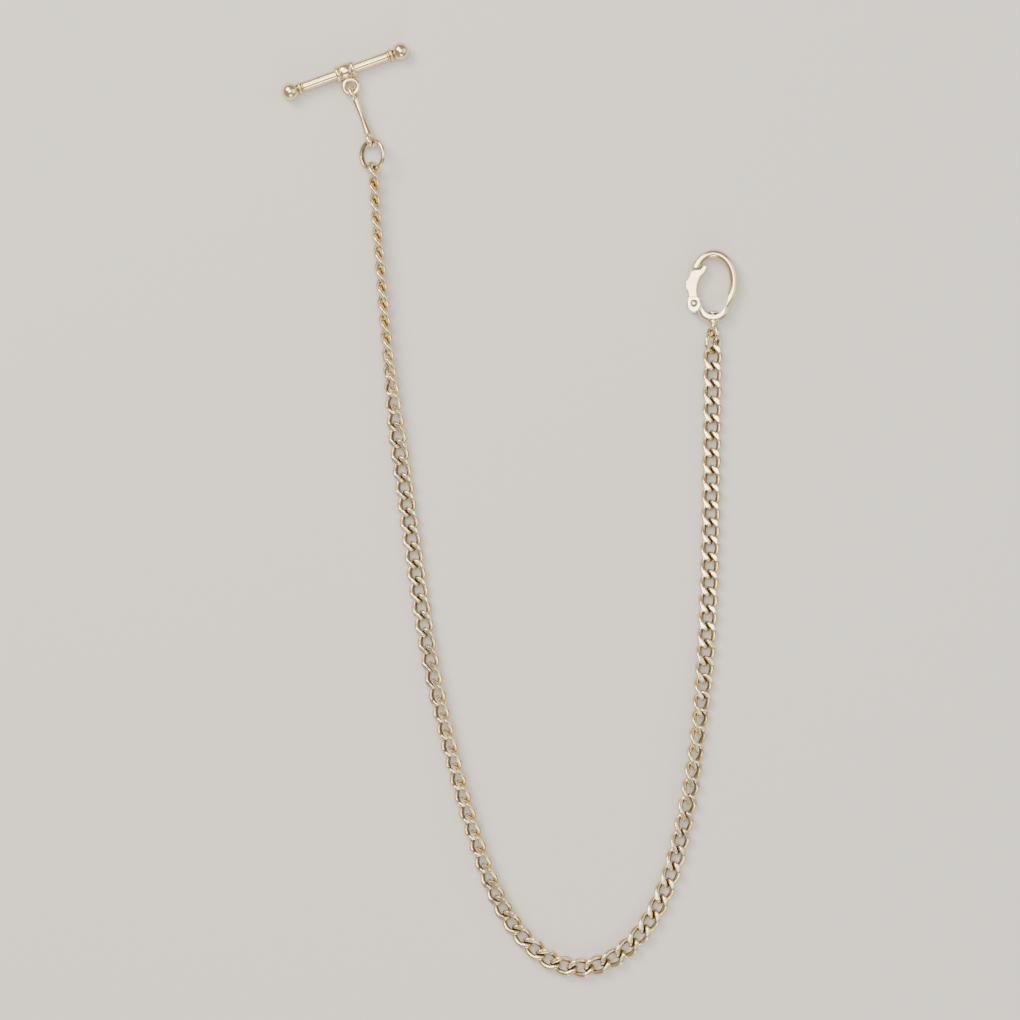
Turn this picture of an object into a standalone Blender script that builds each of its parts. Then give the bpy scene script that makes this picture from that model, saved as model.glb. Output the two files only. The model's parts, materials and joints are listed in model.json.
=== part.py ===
"""Pocket watch chain: a flat curb chain with a T-bar at one end and a swivel clasp at the other.

The chain lies on a flat surface, in the curve that it hangs in when it is worn. Metres, +Z up,
+Y towards the wearer's collar. The origin is under the middle of the chain, on the surface.
Two neighbouring curb links make one sub-part, closed up on each other, and each pair turns on
the next one. The pairs are numbered from the clasp. Every moving sub-part has its origin on its
hinge, with Z along the hinge's axis, and hangs from the sub-part next to it on the way to the
pair at the bottom of the curve.
"""

import math

import bmesh
import bpy
import numpy as np
from mathutils import Matrix, Vector

# Curb link, in metres
WIRE = 0.00105
LINK_LENGTH = 0.00570
LINK_WIDTH = 0.00420
LINK_TWIST = math.radians(50)
LINK_SQUARENESS = 2.2
LINK_STEPS = 10
WIRE_SIDES = 6
PAIRS = 44
ROOT_PAIR = 20
PLAY = 0.00025
CLOSED_UP = 0.00025

# Chain's route on the surface, from the T-bar end to the clasp end, in metres
ROUTE = [
    (-0.0349, 0.0741), (-0.0344, 0.0647), (-0.0336, 0.0554), (-0.0326, 0.0429),
    (-0.0310, 0.0265), (-0.0285, 0.0090), (-0.0257, -0.0117), (-0.0233, -0.0277),
    (-0.0201, -0.0422), (-0.0163, -0.0570), (-0.0120, -0.0707), (-0.0089, -0.0783),
    (-0.0058, -0.0834), (-0.0015, -0.0884), (0.0027, -0.0914), (0.0078, -0.0926),
    (0.0129, -0.0915), (0.0178, -0.0885), (0.0220, -0.0837), (0.0255, -0.0768),
    (0.0281, -0.0694), (0.0303, -0.0587), (0.0320, -0.0482), (0.0335, -0.0357),
    (0.0345, -0.0223), (0.0350, -0.0089), (0.0354, 0.0125), (0.0357, 0.0480),
]
# How far the chain has turned from lying flat to standing on edge: (metres along it, degrees)
TURNS = [
    (0.000, 84), (0.032, 80), (0.066, 14), (0.092, 10), (0.114, 46), (0.142, 46),
    (0.166, 6), (0.211, 0), (0.230, 44), (0.238, 44), (0.257, 0), (0.330, 0),
]
# How far the fittings lift the chain's ends off the surface: (metres along it, metres)
LIFTS = [(0.000, 0.00035), (0.015, 0.00000), (0.300, 0.00000), (0.318, 0.00055)]
ROUTE_OFFSET = (0.006480, -0.002937)
SURFACE_GAP = 0.000039

# T-bar, its stem and the end ring
RING_WIRE = 0.00100
END_RING_RADIUS = 0.00305
END_RING_LEAN = math.radians(-40)
END_RING_HEIGHT = 0.00247
STEM_SLANT = math.radians(17)
STEM_ROLL = math.radians(-20)
STEM_EYE_RADIUS = 0.00125
STEM_EYE_WIRE = 0.00110
STEM_REACH = 0.01050
STEM_WAIST = 0.00060
BAR_HEIGHT = 0.00180
BAR_LENGTH = 0.02800
BAR_RADIUS = 0.00105
BALL_RADIUS = 0.00180
BAR_EYE_RADIUS = 0.00150
COLLAR_LENGTH = 0.00420
COLLAR_RADIUS = 0.00180
FIT_GAP = 0.00020
EYE_PLAY = 0.00025

# Swivel clasp
CLASP_RING_RADIUS = 0.00185
CLASP_RING_HEIGHT = 0.00170
CLASP_RING_LEAN = math.radians(40)
SWIVEL_EYE_LEAN = math.radians(130)
SWIVEL_EYE_RADIUS = 0.00130
HOOK_HALF_THICKNESS = 0.00150
HOOK_HEAD_WALL = 0.00200
HOOK_LENGTH = 0.01550
HOOK_WIDTH = 0.01040
HOOK_RIM = 0.00190
POST_RADIUS = 0.00065
POST_HEAD_RADIUS = 0.00115
POST_HEAD_LENGTH = 0.00060
GATE_THICKNESS = 0.00150
PIVOT_RADIUS = 0.00050
GATE_PIVOT = (0.00420, 0.00400)
NOSE_START = 0.01150
SPRING_THICKNESS = 0.00025
ROUND_STEPS = 16

PLATE_GOLD = (0.72, 0.53, 0.26, 1.0)
BRIGHT_GOLD = (0.78, 0.60, 0.32, 1.0)
SPRING_GREY = (0.42, 0.41, 0.39, 1.0)


def metal(name, colour, roughness):
    """A metal of this colour."""
    material = bpy.data.materials.new(name)
    material.use_nodes = True
    shader = material.node_tree.nodes["Principled BSDF"]
    shader.inputs["Base Color"].default_value = colour
    shader.inputs["Metallic"].default_value = 1.0
    shader.inputs["Roughness"].default_value = roughness
    return material


# ---------------------------------------------------------------- shapes


def add_ring(bm, half_length, half_width, wire, twist=0.0, power=2.0, steps=16, sides=6):
    """Adds a ring of wire in the XY plane: a round section is spun into a ring, the ring is
    pressed to an oval, and its ends are twisted against each other about X."""
    start = Matrix.Translation((half_length, 0, 0)) @ Matrix.Rotation(math.pi / 2, 4, "X")
    start = start @ Matrix.Rotation(math.pi / sides, 4, "Z")
    section = bmesh.ops.create_circle(bm, segments=sides, radius=wire / 2, matrix=start)
    edges = {edge for vert in section["verts"] for edge in vert.link_edges}
    bmesh.ops.spin(
        bm, geom=list(edges), cent=(0, 0, 0), axis=(0, 0, 1), angle=2 * math.pi,
        steps=steps, use_merge=True, use_duplicate=False,
    )
    bmesh.ops.remove_doubles(bm, verts=bm.verts, dist=1e-7)
    for vert in bm.verts:
        around = math.atan2(vert.co.y, vert.co.x)
        out = math.hypot(vert.co.x, vert.co.y) - half_length
        c, s = math.cos(around), math.sin(around)
        on_oval = Vector((
            half_length * math.copysign(abs(c) ** (2 / power), c),
            half_width * math.copysign(abs(s) ** (2 / power), s),
            0,
        ))
        outward = Vector((
            math.copysign(abs(on_oval.x / half_length) ** (power - 1), c) / half_length,
            math.copysign(abs(on_oval.y / half_width) ** (power - 1), s) / half_width,
            0,
        )).normalized()
        point = on_oval + out * outward + Vector((0, 0, vert.co.z))
        vert.co = Matrix.Rotation(-twist * point.x / half_length, 3, "X") @ point
    bmesh.ops.recalc_face_normals(bm, faces=bm.faces)


def ring_mesh(**sizes):
    """A ring as a mesh of its own."""
    bm = bmesh.new()
    add_ring(bm, **sizes)
    return finished(bm, "ring")


def turned_mesh(profile, steps=ROUND_STEPS):
    """A turned piece about X. profile: (place along X, radius) from one end to the other, with
    both ends on the axis."""
    bm = bmesh.new()
    verts = [bm.verts.new((x, 0, radius)) for x, radius in profile]
    edges = [bm.edges.new(pair) for pair in zip(verts, verts[1:])]
    bmesh.ops.spin(
        bm, geom=verts + edges, cent=(0, 0, 0), axis=(1, 0, 0), angle=2 * math.pi,
        steps=steps, use_merge=True, use_duplicate=False,
    )
    bmesh.ops.remove_doubles(bm, verts=bm.verts, dist=1e-7)
    return finished(bm, "turned")


def plate_mesh(outline, low, high):
    """A flat plate: an outline in the XY plane, given thickness from low to high."""
    bm = bmesh.new()
    face = bm.faces.new([bm.verts.new((x, y, low)) for x, y in outline])
    grown = bmesh.ops.extrude_face_region(bm, geom=[face])["geom"]
    verts = [item for item in grown if isinstance(item, bmesh.types.BMVert)]
    bmesh.ops.translate(bm, verts=verts, vec=(0, 0, high - low))
    return finished(bm, "plate")


def finished(bm, name):
    """The bmesh as a mesh of flat triangles whose faces point outwards."""
    bmesh.ops.recalc_face_normals(bm, faces=bm.faces)
    bmesh.ops.triangulate(bm, faces=bm.faces)
    mesh = bpy.data.meshes.new(name)
    bm.to_mesh(mesh)
    bm.free()
    return mesh


def moved(mesh, matrix):
    """The mesh moved by a matrix."""
    mesh.transform(matrix)
    return mesh


def combined(body, others, operation):
    """The mesh joined with the others by a union, or cut by them."""
    base = bpy.data.objects.new("base", body)
    bpy.context.scene.collection.objects.link(base)
    helpers = []
    for other in others:
        helper = bpy.data.objects.new("helper", other)
        bpy.context.scene.collection.objects.link(helper)
        modifier = base.modifiers.new("combine", "BOOLEAN")
        modifier.operation = operation
        modifier.solver = "EXACT"
        modifier.object = helper
        helpers.append(helper)
    bpy.context.view_layer.update()
    evaluated = base.evaluated_get(bpy.context.evaluated_depsgraph_get())
    result = bpy.data.meshes.new_from_object(evaluated)
    for helper in [base, *helpers]:
        bpy.data.objects.remove(helper)
    return result


def oval(centre, half_length, half_width, steps=28):
    """Points round an oval in the XY plane."""
    x, y = centre
    angles = np.linspace(0, 2 * math.pi, steps, endpoint=False)
    return [(x + half_length * math.cos(a), y + half_width * math.sin(a)) for a in angles]


# ---------------------------------------------------------------- the lay of the chain


def smooth_route():
    """The route as closely spaced points of a smooth curve, with the distance along it."""
    points = np.array(ROUTE) + ROUTE_OFFSET
    points = np.vstack([2 * points[0] - points[1], points, 2 * points[-1] - points[-2]])
    t = np.linspace(0, 1, 60, endpoint=False)[:, None]
    weights = (
        (1 - t) ** 3 / 6,
        (3 * t**3 - 6 * t**2 + 4) / 6,
        (-3 * t**3 + 3 * t**2 + 3 * t + 1) / 6,
        t**3 / 6,
    )
    spans = [
        sum(w * points[i + k] for k, w in enumerate(weights)) for i in range(len(points) - 3)
    ]
    curve = np.vstack(spans)
    steps = np.linalg.norm(np.diff(curve, axis=0), axis=1)
    return curve, np.concatenate([[0], np.cumsum(steps)])


def turn_at(along):
    """The chain's turn from lying flat, in radians, eased between the places in TURNS."""
    places, degrees = zip(*TURNS)
    i = min(max(int(np.searchsorted(places, along)) - 1, 0), len(TURNS) - 2)
    share = min(max((along - places[i]) / (places[i + 1] - places[i]), 0), 1)
    eased = share * share * (3 - 2 * share)
    return math.radians(degrees[i] + (degrees[i + 1] - degrees[i]) * eased)


def resting_height(turn):
    """The height of a link's middle over the surface, when it lies at this turn."""
    half_length = (LINK_LENGTH - WIRE) / 2
    half_width = (LINK_WIDTH - WIRE) / 2
    highest = 0
    for step in range(48):
        around = 2 * math.pi * step / 48
        x = half_length * math.cos(around)
        y = half_width * math.sin(around)
        lean = -LINK_TWIST * x / half_length + turn
        highest = max(highest, abs(y * math.sin(lean)))
    return highest + WIRE / 2


def link_frames():
    """For each link from the T-bar end: its matrix, with X along the chain, Y across its width
    and Z out of its face, and the contact points before and after it."""
    curve, distance = smooth_route()
    half_length = (LINK_LENGTH - WIRE) / 2
    loose, closed = (WIRE + PLAY) / 2, (WIRE - CLOSED_UP) / 2

    def point(along):
        turn = turn_at(along)
        x, y = (np.interp(along, distance, curve[:, k]) for k in (0, 1))
        lift = np.interp(along, *zip(*LIFTS))
        return Vector((x, y, resting_height(turn) + SURFACE_GAP + lift))

    frames, along = [], 0.0
    for index in range(2 * PAIRS):
        before, after = (loose, closed) if index % 2 == 0 else (closed, loose)
        span = 2 * half_length - before - after
        start, end = point(along), point(along + span)
        forward = (end - start).normalized()
        turn = turn_at(along + span / 2)
        across = Vector((0, 0, 1)).cross(forward).normalized()
        across = Matrix.Rotation(turn, 3, forward) @ across
        face = forward.cross(across)
        middle = start + forward * (half_length - before)
        matrix = Matrix((forward, across, face)).transposed().to_4x4()
        frames.append((Matrix.Translation(middle) @ matrix, start, end))
        along += span
    return frames


def frame_at(origin, forward, up=(0, 0, 1)):
    """A matrix at origin with X along forward and Z as near to up as it can be."""
    forward = Vector(forward).normalized()
    side = Vector(up).cross(forward).normalized()
    face = forward.cross(side)
    turned = Matrix((forward, side, face)).transposed().to_4x4()
    return Matrix.Translation(origin) @ turned


# ---------------------------------------------------------------- sub-parts


class Chain:
    """Places the sub-parts, each with its origin on its hinge and under the one it hangs from."""

    def __init__(self):
        self.placed = {}

    def add(self, name, mesh, material, origin, parent=None):
        """Adds a sub-part from a mesh in world coordinates."""
        mesh.transform(origin.inverted())
        mesh.name = name
        mesh.materials.clear()
        mesh.materials.append(material)
        mesh.shade_smooth()
        mesh.set_sharp_from_angle(angle=math.radians(50))
        obj = bpy.data.objects.new(name, mesh)
        bpy.context.scene.collection.objects.link(obj)
        self.placed[name] = obj, origin
        if parent:
            obj.parent, above = self.placed[parent]
            obj.matrix_parent_inverse = above.inverted()
        obj.matrix_basis = origin


def link_pair_mesh(first, second):
    """Two curb links, closed up on each other."""
    links = []
    for matrix in (first, second):
        mesh = ring_mesh(
            half_length=(LINK_LENGTH - WIRE) / 2, half_width=(LINK_WIDTH - WIRE) / 2,
            wire=WIRE, twist=LINK_TWIST, power=LINK_SQUARENESS,
            steps=LINK_STEPS, sides=WIRE_SIDES,
        )
        links.append(moved(mesh, matrix))
    return combined(links[0], links[1:], "UNION")


def pair_hinge(number, frames):
    """The hinge of a pair on its neighbour, at the contact of their links. Odd pairs turn
    edgewise, about the line out of the links' faces, and even pairs facewise."""
    first = len(frames) - 2 * number
    inner = first if number <= ROOT_PAIR else first + 2
    near, far = frames[max(inner - 1, 0)], frames[inner]
    forward = near[0].col[0].xyz + far[0].col[0].xyz
    face = near[0].col[2].xyz + far[0].col[2].xyz
    hinge = frame_at(far[1], forward, face)
    return hinge if number % 2 else hinge @ Matrix.Rotation(-math.pi / 2, 4, "X")


def add_pairs(chain, gold):
    """The pairs of links, from the bottom of the curve out to both ends."""
    frames = link_frames()
    to_clasp = [(number, number + 1) for number in range(ROOT_PAIR - 1, 0, -1)]
    to_bar = [(number, number - 1) for number in range(ROOT_PAIR + 1, PAIRS + 1)]
    for number, neighbour in [(ROOT_PAIR, None), *to_clasp, *to_bar]:
        first = len(frames) - 2 * number
        mesh = link_pair_mesh(frames[first][0], frames[first + 1][0])
        parent = f"links_{neighbour:02d}" if neighbour else None
        chain.add(f"links_{number:02d}", mesh, gold, pair_hinge(number, frames), parent)


def end_fittings():
    """The frames of the fittings at the T-bar end, all facing away from the chain: the end
    ring, the stem's two eyes, the T-bar's eye and the bar."""
    matrix, contact, _ = link_frames()[0]
    back = -matrix.col[0].xyz
    back.z = 0
    back.normalize()
    half_play = EYE_PLAY / 2
    ring_step = END_RING_RADIUS - RING_WIRE / 2 - half_play
    ring = Vector((contact.x, contact.y, END_RING_HEIGHT)) + back * ring_step
    slanted = Matrix.Rotation(STEM_SLANT, 3, "Z") @ back
    lower = ring + back * ring_step + slanted * (STEM_EYE_RADIUS - STEM_EYE_WIRE / 2 - half_play)
    upper = lower + slanted * STEM_REACH
    upper.z = BAR_HEIGHT
    reach = STEM_EYE_RADIUS + BAR_EYE_RADIUS - (STEM_EYE_WIRE + RING_WIRE) / 2 - EYE_PLAY
    bar_eye = upper + slanted * reach
    bar = bar_eye + slanted * (BAR_EYE_RADIUS + COLLAR_RADIUS + FIT_GAP / 2)
    stem = frame_at(lower, upper - lower) @ Matrix.Rotation(STEM_ROLL, 4, "X")
    return {
        "ring_hinge": Matrix.Translation(contact),
        "ring": frame_at(ring, back) @ Matrix.Rotation(END_RING_LEAN, 4, "X"),
        "stem_hinge": Matrix.Translation(ring + back * ring_step),
        "lower": stem,
        "upper": stem @ Matrix.Translation((STEM_REACH, 0, 0)),
        "bar_eye": frame_at(bar_eye, slanted),
        "bar": frame_at(bar, slanted),
    }


def add_t_bar_end(chain, gold):
    """The end ring, the stem and the T-bar."""
    at = end_fittings()
    ring = ring_mesh(half_length=END_RING_RADIUS, half_width=END_RING_RADIUS, wire=RING_WIRE)
    chain.add("end_ring", moved(ring, at["ring"]), gold, at["ring_hinge"], f"links_{PAIRS:02d}")

    upright = Matrix.Rotation(math.pi / 2, 4, "X")
    eyes = [
        moved(
            ring_mesh(half_length=STEM_EYE_RADIUS, half_width=STEM_EYE_RADIUS, wire=STEM_EYE_WIRE),
            at[end] @ upright,
        )
        for end in ("lower", "upper")
    ]
    near = STEM_EYE_RADIUS
    far = STEM_REACH - STEM_EYE_RADIUS
    middle = STEM_REACH / 2
    shank = turned_mesh([
        (near, 0), (near, 0.0007), (near + 0.0008, 0.0009), (near + 0.0020, 0.0007),
        (middle, STEM_WAIST), (far - 0.0020, 0.0007), (far - 0.0008, 0.0009), (far, 0.0007),
        (far, 0),
    ])
    stem = combined(moved(shank, at["lower"]), eyes, "UNION")
    chain.add("stem", stem, gold, at["stem_hinge"], "end_ring")

    across = Matrix.Rotation(math.pi / 2, 4, "Z")
    length = COLLAR_LENGTH / 2
    sleeve = turned_mesh([
        (-length, 0), (-length, COLLAR_RADIUS - 0.0003), (-length + 0.0003, COLLAR_RADIUS),
        (length - 0.0003, COLLAR_RADIUS), (length, COLLAR_RADIUS - 0.0003), (length, 0),
    ])
    eye = ring_mesh(half_length=BAR_EYE_RADIUS, half_width=BAR_EYE_RADIUS, wire=RING_WIRE)
    collar = combined(
        moved(sleeve, at["bar"] @ across), [moved(eye, at["bar_eye"])], "UNION"
    )
    bore = turned_mesh([
        (-2 * length, 0), (-2 * length, BAR_RADIUS + FIT_GAP),
        (2 * length, BAR_RADIUS + FIT_GAP), (2 * length, 0),
    ])
    collar = combined(collar, [moved(bore, at["bar"] @ across)], "DIFFERENCE")
    chain.add("t_bar_collar", collar, gold, at["bar_eye"], "stem")

    ball = BAR_LENGTH / 2 - BALL_RADIUS
    meet = math.asin(BAR_RADIUS / BALL_RADIUS)
    angles = np.linspace(0, math.pi - meet, 7)
    right = [(ball + BALL_RADIUS * math.cos(a), BALL_RADIUS * math.sin(a)) for a in angles]
    left = [(-x, radius) for x, radius in reversed(right)]
    rod = turned_mesh(right + left)
    chain.add("t_bar_rod", moved(rod, at["bar"] @ across), gold, at["bar_eye"], "t_bar_collar")


def clasp_frames():
    """The frames of the clasp's ring, the swivel's eye and the hook, all facing away from
    the chain."""
    matrix, _, contact = link_frames()[-1]
    forward = matrix.col[0].xyz
    forward.z = 0
    forward.normalize()
    level = Vector((contact.x, contact.y, 0))
    half_play = EYE_PLAY / 2
    ring_step = CLASP_RING_RADIUS - RING_WIRE / 2 - half_play
    ring = level + forward * ring_step
    eye = ring + forward * (ring_step + SWIVEL_EYE_RADIUS - RING_WIRE / 2 - half_play)
    hook = eye + forward * (SWIVEL_EYE_RADIUS + RING_WIRE / 2 + FIT_GAP)
    ring.z = CLASP_RING_HEIGHT
    eye.z = hook.z = HOOK_HALF_THICKNESS
    return {
        "ring_hinge": Matrix.Translation(contact),
        "ring": frame_at(ring, forward) @ Matrix.Rotation(CLASP_RING_LEAN, 4, "X"),
        "eye_hinge": Matrix.Translation(ring + forward * ring_step),
        "eye": frame_at(eye, forward) @ Matrix.Rotation(SWIVEL_EYE_LEAN, 4, "X"),
        "hook": frame_at(hook, forward),
        "hook_hinge": frame_at(hook, forward) @ Matrix.Rotation(math.pi / 2, 4, "Y"),
    }


def add_clasp(chain, gold, steel):
    """The clasp's ring, the swivel's eye, the hook, its gate, rivet and spring."""
    at = clasp_frames()
    ring = ring_mesh(
        half_length=CLASP_RING_RADIUS, half_width=CLASP_RING_RADIUS, wire=RING_WIRE
    )
    chain.add("clasp_ring", moved(ring, at["ring"]), gold, at["ring_hinge"], "links_01")

    eye = ring_mesh(half_length=SWIVEL_EYE_RADIUS, half_width=SWIVEL_EYE_RADIUS, wire=RING_WIRE)
    start = SWIVEL_EYE_RADIUS
    shoulder = start + RING_WIRE / 2 + 2 * FIT_GAP + HOOK_HEAD_WALL
    post = turned_mesh([
        (start, 0), (start, POST_RADIUS), (shoulder, POST_RADIUS), (shoulder, POST_HEAD_RADIUS),
        (shoulder + POST_HEAD_LENGTH * 0.6, POST_HEAD_RADIUS),
        (shoulder + POST_HEAD_LENGTH, POST_HEAD_RADIUS * 0.6), (shoulder + POST_HEAD_LENGTH, 0),
    ])
    swivel = combined(moved(eye, at["eye"]), [moved(post, at["eye"])], "UNION")
    chain.add("swivel_eye", swivel, gold, at["eye_hinge"], "clasp_ring")

    hook = at["hook"]
    chain.add("hook_body", moved(hook_body_mesh(), hook), gold, at["hook_hinge"], "swivel_eye")
    pivot = hook @ Matrix.Translation((*GATE_PIVOT, 0))
    pin_half = HOOK_HALF_THICKNESS - 0.0001
    pin = round_plate(PIVOT_RADIUS - FIT_GAP / 2, pin_half)
    chain.add("gate_rivet", moved(pin, pivot), gold, pivot, "hook_body")
    chain.add("gate_lever", moved(gate_mesh(), pivot), gold, pivot, "hook_body")
    leaf_end = GATE_PIVOT[0] - 0.0012
    leaf_start = leaf_end - SPRING_THICKNESS
    leaf = plate_mesh(
        [(leaf_start, 0.0026), (leaf_start, 0.0048), (leaf_end, 0.0048), (leaf_end, 0.0026)],
        -GATE_THICKNESS * 0.4, GATE_THICKNESS * 0.4,
    )
    chain.add("gate_spring", moved(leaf, hook), steel, pivot, "hook_body")


def box_plate(x_low, x_high, y_low, y_high, half):
    """A rectangular block of this half thickness."""
    corners = [(x_low, y_low), (x_low, y_high), (x_high, y_high), (x_high, y_low)]
    return plate_mesh(corners, -half, half)


def round_plate(radius, half):
    """A disc of this half thickness."""
    return plate_mesh(oval((0, 0), radius, radius, ROUND_STEPS), -half, half)


def hook_body_mesh():
    """The hook in its own frame, with X away from the chain and Y to the gate: a head bored
    for the swivel's post, and a flat oval loop that the gate closes on one side."""
    thick = HOOK_HALF_THICKNESS
    through = 2 * thick
    pivot_x, pivot_y = GATE_PIVOT
    middle = (HOOK_LENGTH + HOOK_HEAD_WALL) / 2
    half_length = (HOOK_LENGTH - HOOK_HEAD_WALL) / 2
    half_width = HOOK_WIDTH / 2
    loop = plate_mesh(oval((middle, 0), half_length, half_width), -thick, thick)
    neck = HOOK_HEAD_WALL + 0.0008
    head_half, lug_half = thick - 0.00010, thick - 0.00005
    head = plate_mesh(
        [(0, -0.0016), (0, 0.0016), (neck, 0.0026), (neck, -0.0026)], -head_half, head_half
    )
    shoulder = plate_mesh(oval(GATE_PIVOT, 0.0020, 0.0015, ROUND_STEPS), -lug_half, lug_half)
    body = combined(loop, [head, shoulder], "UNION")
    inside = plate_mesh(
        oval((middle + 0.0002, 0), half_length - HOOK_RIM, half_width - HOOK_RIM),
        -through, through,
    )
    cavity = box_plate(HOOK_HEAD_WALL, middle, -0.0015, 0.0015, through)
    slot = box_plate(
        pivot_x - 0.0017, pivot_x + 0.0040, pivot_y - 0.0020, pivot_y + 0.0030,
        GATE_THICKNESS / 2 + FIT_GAP,
    )
    mouth = box_plate(pivot_x + 0.0014, NOSE_START, pivot_y - 0.0024, pivot_y + 0.0060, through)
    bore = turned_mesh([
        (-0.0010, 0), (-0.0010, POST_RADIUS + FIT_GAP),
        (2 * HOOK_HEAD_WALL, POST_RADIUS + FIT_GAP), (2 * HOOK_HEAD_WALL, 0),
    ])
    pin_hole = round_plate(PIVOT_RADIUS + FIT_GAP / 2, through)
    pin_hole = moved(pin_hole, Matrix.Translation((pivot_x, pivot_y, 0)))
    return combined(body, [inside, cavity, slot, mouth, bore, pin_hole], "DIFFERENCE")


def gate_mesh():
    """The gate about its pivot, closed: a knuckle, a bar with a thumb piece along the open
    side, and a tongue that stops behind the hook's nose."""
    half = GATE_THICKNESS / 2
    bar = plate_mesh(
        [(0, 0.0010), (0.0028, 0.0012), (0.0032, 0.0018), (0.0044, 0.0018), (0.0048, 0.0012),
         (0.0070, 0.0005), (0.0070, -0.0015), (0.0080, -0.0019), (0.0078, -0.0027),
         (0.0064, -0.0021), (0.0054, -0.0010), (0.0028, -0.0004), (0, -0.0010)],
        -half, half,
    )
    knuckle = round_plate(0.00102, half - 0.00005)
    eyelet = round_plate(PIVOT_RADIUS + FIT_GAP / 2, 2 * half)
    return combined(combined(bar, [knuckle], "UNION"), [eyelet], "DIFFERENCE")


def main():
    for obj in list(bpy.data.objects):
        bpy.data.objects.remove(obj)
    curb = metal("curb_gold", PLATE_GOLD, 0.28)
    bright = metal("fitting_gold", BRIGHT_GOLD, 0.22)
    steel = metal("spring_steel", SPRING_GREY, 0.35)
    chain = Chain()
    add_pairs(chain, curb)
    add_t_bar_end(chain, bright)
    add_clasp(chain, bright, steel)


main()
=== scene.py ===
"""Looks of a pocket watch chain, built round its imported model: a flat curb chain with a T-bar
at one end and a swivel clasp at the other.

The classes hold their sizes in millimetres. A finished mesh is in metres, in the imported
model's frame, with its object at the origin.
"""

from __future__ import annotations

import json
import logging
import math
import random
from collections.abc import Iterable, Sequence
from dataclasses import dataclass, field
from enum import Enum

import bmesh
import bpy
from mathutils import Matrix, Vector

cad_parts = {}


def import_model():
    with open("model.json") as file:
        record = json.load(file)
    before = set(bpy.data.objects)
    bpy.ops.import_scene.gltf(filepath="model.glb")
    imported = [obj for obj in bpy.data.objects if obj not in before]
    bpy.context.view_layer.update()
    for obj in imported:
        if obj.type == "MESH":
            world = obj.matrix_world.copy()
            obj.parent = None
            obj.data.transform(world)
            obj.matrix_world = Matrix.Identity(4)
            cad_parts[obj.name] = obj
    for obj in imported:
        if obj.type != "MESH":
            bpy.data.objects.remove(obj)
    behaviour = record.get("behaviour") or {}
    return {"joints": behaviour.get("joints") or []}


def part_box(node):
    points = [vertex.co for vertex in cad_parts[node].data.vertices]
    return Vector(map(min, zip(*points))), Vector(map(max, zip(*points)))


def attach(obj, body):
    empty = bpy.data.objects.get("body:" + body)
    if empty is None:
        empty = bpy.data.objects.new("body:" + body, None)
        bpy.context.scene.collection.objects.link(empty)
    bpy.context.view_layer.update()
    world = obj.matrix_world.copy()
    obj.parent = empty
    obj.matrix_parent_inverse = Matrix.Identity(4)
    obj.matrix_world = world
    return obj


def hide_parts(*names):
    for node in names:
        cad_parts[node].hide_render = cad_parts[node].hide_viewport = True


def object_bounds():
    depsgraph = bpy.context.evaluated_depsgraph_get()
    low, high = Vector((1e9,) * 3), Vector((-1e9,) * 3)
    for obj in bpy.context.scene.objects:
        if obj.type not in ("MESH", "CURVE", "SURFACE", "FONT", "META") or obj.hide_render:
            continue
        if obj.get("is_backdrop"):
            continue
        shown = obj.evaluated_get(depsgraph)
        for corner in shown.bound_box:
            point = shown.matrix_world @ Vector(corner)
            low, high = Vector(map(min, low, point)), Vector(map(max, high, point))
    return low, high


LOG = logging.getLogger("watch_chain")
MM = 0.001
SMOOTH_ANGLE = math.radians(32)
UP = Vector((0.0, 0.0, 1.0))
QUARTER_TURN = math.pi / 2
ALONG_Y = Matrix.Rotation(QUARTER_TURN, 4, "Z")
ALONG_Z = Matrix.Rotation(QUARTER_TURN, 4, "Y")
ON_EDGE = Matrix.Rotation(QUARTER_TURN, 4, "X")

# How hollow a skin is at a point, from 0 on a sharp edge, through 0.5 on the flat, to 1 in a
# deep corner. In the gold finishes low values get a painted highlight and high values painted shade.
HOLLOW = "hollow"
# A filed face gets a painted highlight; an inner side and a turned groove get painted shade.
FILED_FACE = 0.25
ROUND_WIRE = 0.45
INNER_SIDE = 0.5
TURNED_GROOVE = 0.85

# The colour sockets of a Mix node. Its sockets for other kinds of value have the same names.
MIX_A = 6
MIX_B = 7
MIX_RESULT = 2


class Slot(Enum):
    """The record's material slots."""

    CURB = "curb_gold"
    FITTING = "fitting_gold"
    SPRING = "spring_steel"


# ---------------------------------------------------------------- finishes


def linear(colour: str) -> tuple[float, float, float, float]:
    """Turns an sRGB hex colour into linear RGBA.

    Args:
        colour: Six hex digits after a hash sign.

    Returns:
        The linear red, green and blue, and an alpha of 1.
    """
    parts = [int(colour[i : i + 2], 16) / 255 for i in (1, 3, 5)]
    red, green, blue = (
        part / 12.92 if part <= 0.04045 else ((part + 0.055) / 1.055) ** 2.4 for part in parts
    )
    return red, green, blue, 1.0


def add_node(
    tree: bpy.types.NodeTree,
    kind: str,
    settings: dict[str, object] | None = None,
    inputs: dict[str | int, object] | None = None,
) -> bpy.types.Node:
    """Adds a node with its settings and its links.

    Args:
        tree: The node tree that it goes into.
        kind: The node's type name.
        settings: Properties of the node, by name.
        inputs: For each input, by name or number, a value or the socket that feeds it.

    Returns:
        The new node.
    """
    node = tree.nodes.new(kind)
    for key, value in (settings or {}).items():
        setattr(node, key, value)
    for key, value in (inputs or {}).items():
        if isinstance(value, bpy.types.NodeSocket):
            tree.links.new(value, node.inputs[key])
        else:
            node.inputs[key].default_value = value
    return node


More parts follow.
